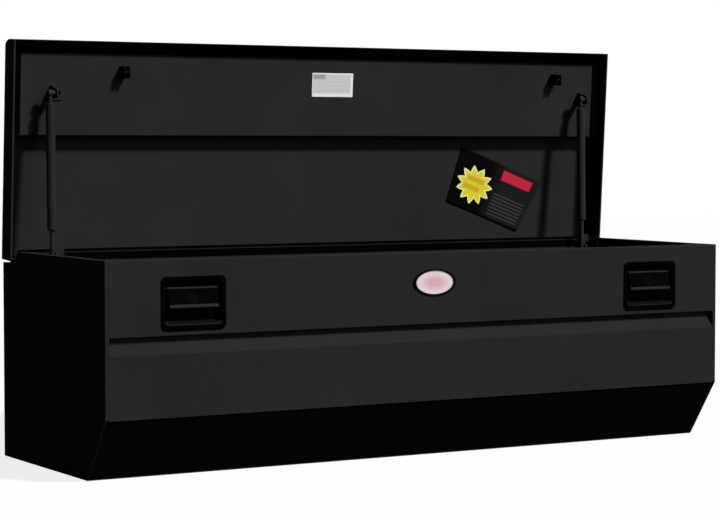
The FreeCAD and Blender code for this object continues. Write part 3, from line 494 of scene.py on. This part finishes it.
def make_badge_print():
    """Pale enamel oval with a dark rim and a plain tinted middle.

    With x and z measured from the badge's centre over its half width and half height, the
    oval's own radius is sqrt(x*x + z*z), which is 1 at the edge.
    """
    group, entry, leave = new_group("badge_print", [], [("Color", "NodeSocketColor")])
    low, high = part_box("badge_plate")
    half_wide, half_tall = 0.5 * (high[0] - low[0]), 0.5 * (high[2] - low[2])
    place = split_xyz(group, object_place(group))
    squares = []
    for axis, middle, half in (("X", 0.5 * (low[0] + high[0]), half_wide),
                               ("Z", 0.5 * (low[2] + high[2]), half_tall)):
        part = times(group, minus(group, place[axis], middle), 1.0 / half)
        squares.append(times(group, part, part))
    radius = math_node(group, "SQRT", plus(group, *squares))
    rim_at = 1.0 - BADGE_RIM_WIDTH / half_tall
    tint = ramp(group, radius, *BADGE_TINT_BETWEEN, BADGE_TINT_SHARE, 0.0)
    ink = blend(group, tint, BADGE_ENAMEL, BADGE_TINT)
    rim = ramp(group, radius, rim_at - BADGE_RIM_SOFT, rim_at + BADGE_RIM_SOFT)
    group.links.new(blend(group, rim, ink, BADGE_RIM), leave.inputs["Color"])
    return group


# Card: places and sizes in metres from its lower left corner, colours of ground and inks
CARD_SIZE = (0.240, 0.138)
CARD_BLACK = (0.0020, 0.0020, 0.0024)
CARD_GREY = (0.0110, 0.0110, 0.0115)
CARD_GREY_BETWEEN = (0.10, 0.15)
CARD_RULE = (0.055, 0.053, 0.052)
CARD_RED = (0.52, 0.020, 0.050)
INK_SHARE = 0.8

STAR_AT = (0.067, 0.064)
STAR_RADIUS = 0.050
STAR_POINTS = 11
STAR_DEPTH = 0.33
STAR_STRETCH = (1.10, 0.94)
STAR_TURN = math.radians(10.0)
STAR_SOFT = 0.0006
STAR_RIM_BETWEEN = (0.0018, 0.0090)
STAR_YELLOW = (0.66, 0.62, 0.02)
STAR_PALE = (0.80, 0.80, 0.42)
STAR_BAND = (0.60, 0.30, 0.03)
STAR_BANDS = ((0.067, 0.077), (0.059, 0.056))
STAR_BAND_SIZE = (0.052, 0.012)
STAR_BAND_SOFT = 0.006

RED_AT = (0.178, 0.114)
RED_SIZE = (0.088, 0.025)
RED_SOFT = 0.003

RULES_AT = (0.178, 0.064)
RULE_STEP = 0.0085
RULE_COUNT = 7
RULE_SIZE = (0.098, 0.0030)
RULE_SOFT = 0.002


def make_star_edge(group, across, up):
    """How far inside the star's outline a point is, in metres.

    The outline's radius falls from R at a tip to R * (1 - depth) half a point further round:
    R * (1 - depth * p), where p runs 0, 1, 0 with the angle. The star is stretched a little
    along the card and pressed together up it.
    """
    east = math_node(group, "DIVIDE", minus(group, across, STAR_AT[0]), STAR_STRETCH[0])
    north = math_node(group, "DIVIDE", minus(group, up, STAR_AT[1]), STAR_STRETCH[1])
    squares = plus(group, times(group, east, east), times(group, north, north))
    angle = minus(group, math_node(group, "ARCTAN2", north, east), STAR_TURN)
    between = math_node(group, "PINGPONG", times(group, angle, STAR_POINTS / math.pi), 1.0)
    outline = ramp(group, between, 0.0, 1.0, STAR_RADIUS, STAR_RADIUS * (1.0 - STAR_DEPTH))
    return minus(group, outline, math_node(group, "SQRT", squares))


def make_card_print():
    """A starburst with two bands, a plain red block and ruled lines on a dark ground."""
    group, entry, leave = new_group("card_print", [], [("Color", "NodeSocketColor")])
    print_map = group.nodes.new("ShaderNodeUVMap")
    print_map.uv_map = "print"
    place = split_xyz(group, print_map.outputs["UV"])
    across = times(group, place["X"], CARD_SIZE[0])
    up = times(group, place["Y"], CARD_SIZE[1])
    # The ground goes from black up to 0.10 m across to grey from 0.15 m across
    ink = blend(group, ramp(group, across, *CARD_GREY_BETWEEN), CARD_BLACK, CARD_GREY)
    for count in range(RULE_COUNT):
        middle = (RULES_AT[0], RULES_AT[1] - count * RULE_STEP)
        rule = box_mask(group, across, up, middle, RULE_SIZE, RULE_SOFT)
        ink = blend(group, times(group, rule, INK_SHARE), ink, CARD_RULE)
    ink = blend(group, box_mask(group, across, up, RED_AT, RED_SIZE, RED_SOFT), ink, CARD_RED)
    inside = make_star_edge(group, across, up)
    star = blend(group, ramp(group, inside, *STAR_RIM_BETWEEN), STAR_PALE, STAR_YELLOW)
    for middle in STAR_BANDS:
        band = box_mask(group, across, up, middle, STAR_BAND_SIZE, STAR_BAND_SOFT)
        star = blend(group, times(group, band, INK_SHARE), star, STAR_BAND)
    ink = blend(group, ramp(group, inside, -STAR_SOFT, STAR_SOFT), ink, star)
    group.links.new(ink, leave.inputs["Color"])
    return group


# Tones as (dark, light, rubbed edge): the greys of body, lid and kick panel, and the blacks of
# fittings and latches. The latches' edge tone is also a painted highlight, the lid's greys are
# painted a little lighter as painted light, and the kick panel's painted darker as painted shade.
RUBBED = (0.040, 0.040, 0.042)
BLACK = (0.0006, 0.0006, 0.0006)
BLACK_LIGHT = (0.0014, 0.0014, 0.0014)
BODY_TONES = ((0.0175, 0.0175, 0.0180), (0.0205, 0.0205, 0.0210), RUBBED)
# Lid: the body's grey painted a little lighter, painted light for the leaning lid that faces a
# little away from the key lamp
LID_PAINTED_LIGHT_TONES = ((0.0195, 0.0195, 0.0200), (0.0230, 0.0230, 0.0235), RUBBED)
# Kick panel: the body's grey painted much darker, a painted shade for the panel that faces down,
# away from the key lamp
KICK_PAINTED_SHADE_TONES = ((0.0038, 0.0038, 0.0039), (0.0046, 0.0046, 0.0047), RUBBED)
BLACK_TONES = (BLACK, BLACK_LIGHT, (0.016, 0.016, 0.016))
# Latch tones: the edge tone, laid on fully along 3 mm edges, is rubbed wear and a painted
# highlight
LATCH_TONES_HIGHLIT_EDGE = (BLACK, BLACK_LIGHT, (0.020, 0.020, 0.021))
# Colour of the painted sheen, a painted highlight on the latches
LATCH_PAINTED_SHEEN_COLOUR = (0.018, 0.018, 0.0185)
PLATING = (0.030, 0.030, 0.030)
PLATING_DARK = (0.015, 0.015, 0.015)

SLOT_MATERIALS = {
    "body_paint": powder_coat("body_powder_coat", BODY_TONES,
                              specular=0.0005, rough=0.60, wear_and_highlight=0.4, dust=0.01),
    # Kick panel: painted shade in its base colour
    "kick_paint": powder_coat("kick_powder_coat_painted_shade", KICK_PAINTED_SHADE_TONES,
                              specular=0.0005, rough=0.60, wear_and_highlight=0.4, dust=0.004),
    # Lid: painted light in its base colour
    "lid_paint": powder_coat("lid_powder_coat_painted_light", LID_PAINTED_LIGHT_TONES,
                             specular=0.0005, rough=0.60, wear_and_highlight=0.4, dust=0.01),
    # Latches: the full edge mark and the painted sheen put painted highlights into the gloss black
    "latch_black": powder_coat("latch_powder_coat_painted_highlights", LATCH_TONES_HIGHLIT_EDGE,
                               specular=0.003, rough=0.34, wear_and_highlight=1.0, dust=0.002,
                               grain=900.0, edge=0.0030, painted_sheen=(LATCH_PAINTED_SHEEN, LATCH_PAINTED_SHEEN_COLOUR)),
    "zinc": plated_steel("zinc_plate", PLATING, PLATING_DARK, rough=0.60),
    "dark_steel": powder_coat("black_oxide", BLACK_TONES,
                              specular=0.02, rough=0.42, wear_and_highlight=0.4, dust=0.006,
                              grain=1400.0, edge=0.0008),
    "lock_metal": powder_coat("lock_face", BLACK_TONES,
                              specular=0.010, rough=0.30, wear_and_highlight=0.4, dust=0.004,
                              grain=1400.0, edge=0.0008),
    "strut_black": powder_coat("strut_tube_paint", BODY_TONES,
                               specular=0.02, rough=0.35, wear_and_highlight=0.2, dust=0.01, grain=1100.0),
    "strut_rod": powder_coat("nitrided_rod", BODY_TONES,
                             specular=0.03, rough=0.25, wear_and_highlight=0.2, dust=0.0, grain=1800.0),
    "seal": soft_rubber("seal_rubber", BLACK, dust=0.003),
    "badge": printed_sheet("badge_enamel", make_badge_print(),
                           rough=0.30, specular=0.02, haze=0.003),
    "label": printed_sheet("label_film", make_label_print(),
                           rough=0.50, specular=0.10, haze=0.05),
    "card": printed_sheet("card_stock", make_card_print(),
                          rough=0.50, specular=0.005, haze=0.006),
}


def finish_cad_nodes():
    """Give each node of the frame the material of its slot in the record."""
    slots = {part["node"]: part["material_slot"] for part in frame["record"]["subparts"]}
    for name, obj in nodes.items():
        material = SLOT_MATERIALS[slots[name]]
        if not obj.material_slots:
            obj.data.materials.append(material)
        for place in obj.material_slots:
            place.material = material


# The loose card: corners in the lid as (across, up from the hinge line), metres
CARD_TOP_LEFT = (0.393, 0.241)
CARD_TOP_RIGHT = (0.626, 0.154)
CARD_BOTTOM_RIGHT = (0.560, 0.035)
CARD_BOTTOM_LEFT = (0.353, 0.108)
CARD_COLUMNS = 49
CARD_ROWS = 29
CARD_CURL = 0.0030
CARD_THICK = 0.0004
CARD_GAP = 0.0001


def card_points():
    """Points of the card's front and back layer, and each one's share across and up the card.

    With u across and v up, both 0 to 1, the sheet lies on the bilinear patch of the corners and
    stands off the lid by curl * (u * (1 - v)) ** 2, so the lower right corner lifts most.
    """
    u, v = np.meshgrid(np.linspace(0.0, 1.0, CARD_COLUMNS), np.linspace(0.0, 1.0, CARD_ROWS))
    u, v = u.ravel(), v.ravel()
    weights = np.stack([(1 - u) * v, u * v, u * (1 - v), (1 - u) * (1 - v)], axis=1)
    corners = np.array([CARD_TOP_LEFT, CARD_TOP_RIGHT, CARD_BOTTOM_RIGHT, CARD_BOTTOM_LEFT])
    flat = weights @ corners
    lift = LID_INSIDE + CARD_GAP + CARD_THICK + CARD_CURL * (u * (1 - v)) ** 2
    front = np.stack(on_lid(flat[:, 0], flat[:, 1], lift), axis=1)
    back = np.stack(on_lid(flat[:, 0], flat[:, 1], lift - CARD_THICK), axis=1)
    return np.concatenate([front, back]), np.stack([u, v], axis=1)


def card_faces():
    """Faces of the front layer, of the back layer turned over, and of the strip round both."""
    count = CARD_COLUMNS * CARD_ROWS
    index = np.arange(count).reshape(CARD_ROWS, CARD_COLUMNS)
    low, right = index[:-1, :-1].ravel(), index[:-1, 1:].ravel()
    high_right, high = index[1:, 1:].ravel(), index[1:, :-1].ravel()
    front = np.stack([low, right, high_right, high], axis=1)
    rim = np.concatenate([index[0, :-1], index[:-1, -1], index[-1, :0:-1], index[:0:-1, 0]])
    after = np.roll(rim, -1)
    strip = np.stack([rim, rim + count, after + count, after], axis=1)
    return np.concatenate([front, front[:, ::-1] + count, strip])


def add_card():
    """The loose card, a thin curled sheet in place of the frame's flat one."""
    points, shares = card_points()
    faces = card_faces()
    mesh = bpy.data.meshes.new("loose_card")
    mesh.from_pydata(points.tolist(), [], faces.tolist())
    layer = mesh.uv_layers.new(name="print")
    corner_of = np.empty(len(mesh.loops), dtype=np.int32)
    mesh.loops.foreach_get("vertex_index", corner_of)
    print_at = shares[corner_of % len(shares)]
    layer.data.foreach_set("uv", print_at.astype(np.float32).ravel())
    mesh.polygons.foreach_set("use_smooth", np.ones(len(faces), dtype=bool))
    mesh.update()
    card = add_object("loose_card", mesh)
    mesh.materials.append(SLOT_MATERIALS["card"])
    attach(card, "lid")
    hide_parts("lid_card")


# Floor, background and lights

def seen_rays(tree):
    """1 for rays from the camera and for mirrored and refracted ones, 0 for light on things."""
    rays = tree.nodes.new("ShaderNodeLightPath")
    seen = plus(tree, rays.outputs["Is Camera Ray"], rays.outputs["Is Glossy Ray"])
    return plus(tree, seen, rays.outputs["Is Transmission Ray"], clamp=True)


WHITE = (1.0, 1.0, 1.0)
FLOOR_HALF = 14.0
FLOOR_DROP = 0.0005
FLOOR_ROUGH = 0.9
FLOOR_SEEN = (0.16, 0.16, 0.16)
FLOOR_BOUNCE = (0.05, 0.05, 0.05)
FLOOR_GLOW = 0.83


def add_floor():
    """Flat square floor at the chest's foot, pale where it is seen."""
    half = FLOOR_HALF
    corners = [(-half, -half, 0), (half, -half, 0), (half, half, 0), (-half, half, 0)]
    mesh = bpy.data.meshes.new("floor")
    mesh.from_pydata(corners, [], [(0, 1, 2, 3)])
    floor = add_object("floor", mesh)
    floor.location.z = -FLOOR_DROP
    material, tree, shader = new_material("pale_floor")
    seen = seen_rays(tree)
    tree.links.new(blend(tree, seen, FLOOR_BOUNCE, FLOOR_SEEN), shader.inputs["Base Color"])
    shader.inputs["Roughness"].default_value = FLOOR_ROUGH
    shader.inputs["Specular IOR Level"].default_value = 0.0
    glow = tree.nodes.new("ShaderNodeEmission")
    feed(tree, WHITE, glow.inputs["Color"])
    tree.links.new(times(tree, seen, FLOOR_GLOW), glow.inputs["Strength"])
    both = tree.nodes.new("ShaderNodeAddShader")
    tree.links.new(shader.outputs[0], both.inputs[0])
    tree.links.new(glow.outputs[0], both.inputs[1])
    tree.links.new(both.outputs[0], tree.nodes["Material Output"].inputs["Surface"])
    mesh.materials.append(material)


AMBIENT = 0.04


def set_world():
    """White where it is seen, dim soft light on everything else."""
    world = bpy.data.worlds.new("studio")
    bpy.context.scene.world = world
    world.use_nodes = True
    tree = world.node_tree
    back = tree.nodes["Background"]
    feed(tree, WHITE, back.inputs["Color"])
    level = ramp(tree, seen_rays(tree), 0.0, 1.0, AMBIENT, 1.0)
    tree.links.new(level, back.inputs["Strength"])


# Lamps as (name, direction towards it, strength, angular width in degrees)
LAMPS = (
    ("key_lamp", (0.65, -1.0, 1.08), 4.3, 7.0),
    ("fill_lamp", (0.35, -1.0, 0.25), 0.47, 30.0),
)


def add_lamps():
    """Key lamp high at the front right, and a weak wide fill lamp lower at the front."""
    for name, towards, strength, width in LAMPS:
        data = bpy.data.lights.new(name, "SUN")
        data.energy = strength
        data.angle = math.radians(width)
        lamp = add_object(name, data)
        lamp.rotation_mode = "QUATERNION"
        lamp.rotation_quaternion = Vector(towards).to_track_quat("Z", "Y")


finish_cad_nodes()
add_card()
add_camera()
add_floor()
set_world()
add_lamps()
bpy.context.scene.view_settings.view_transform = "Standard"
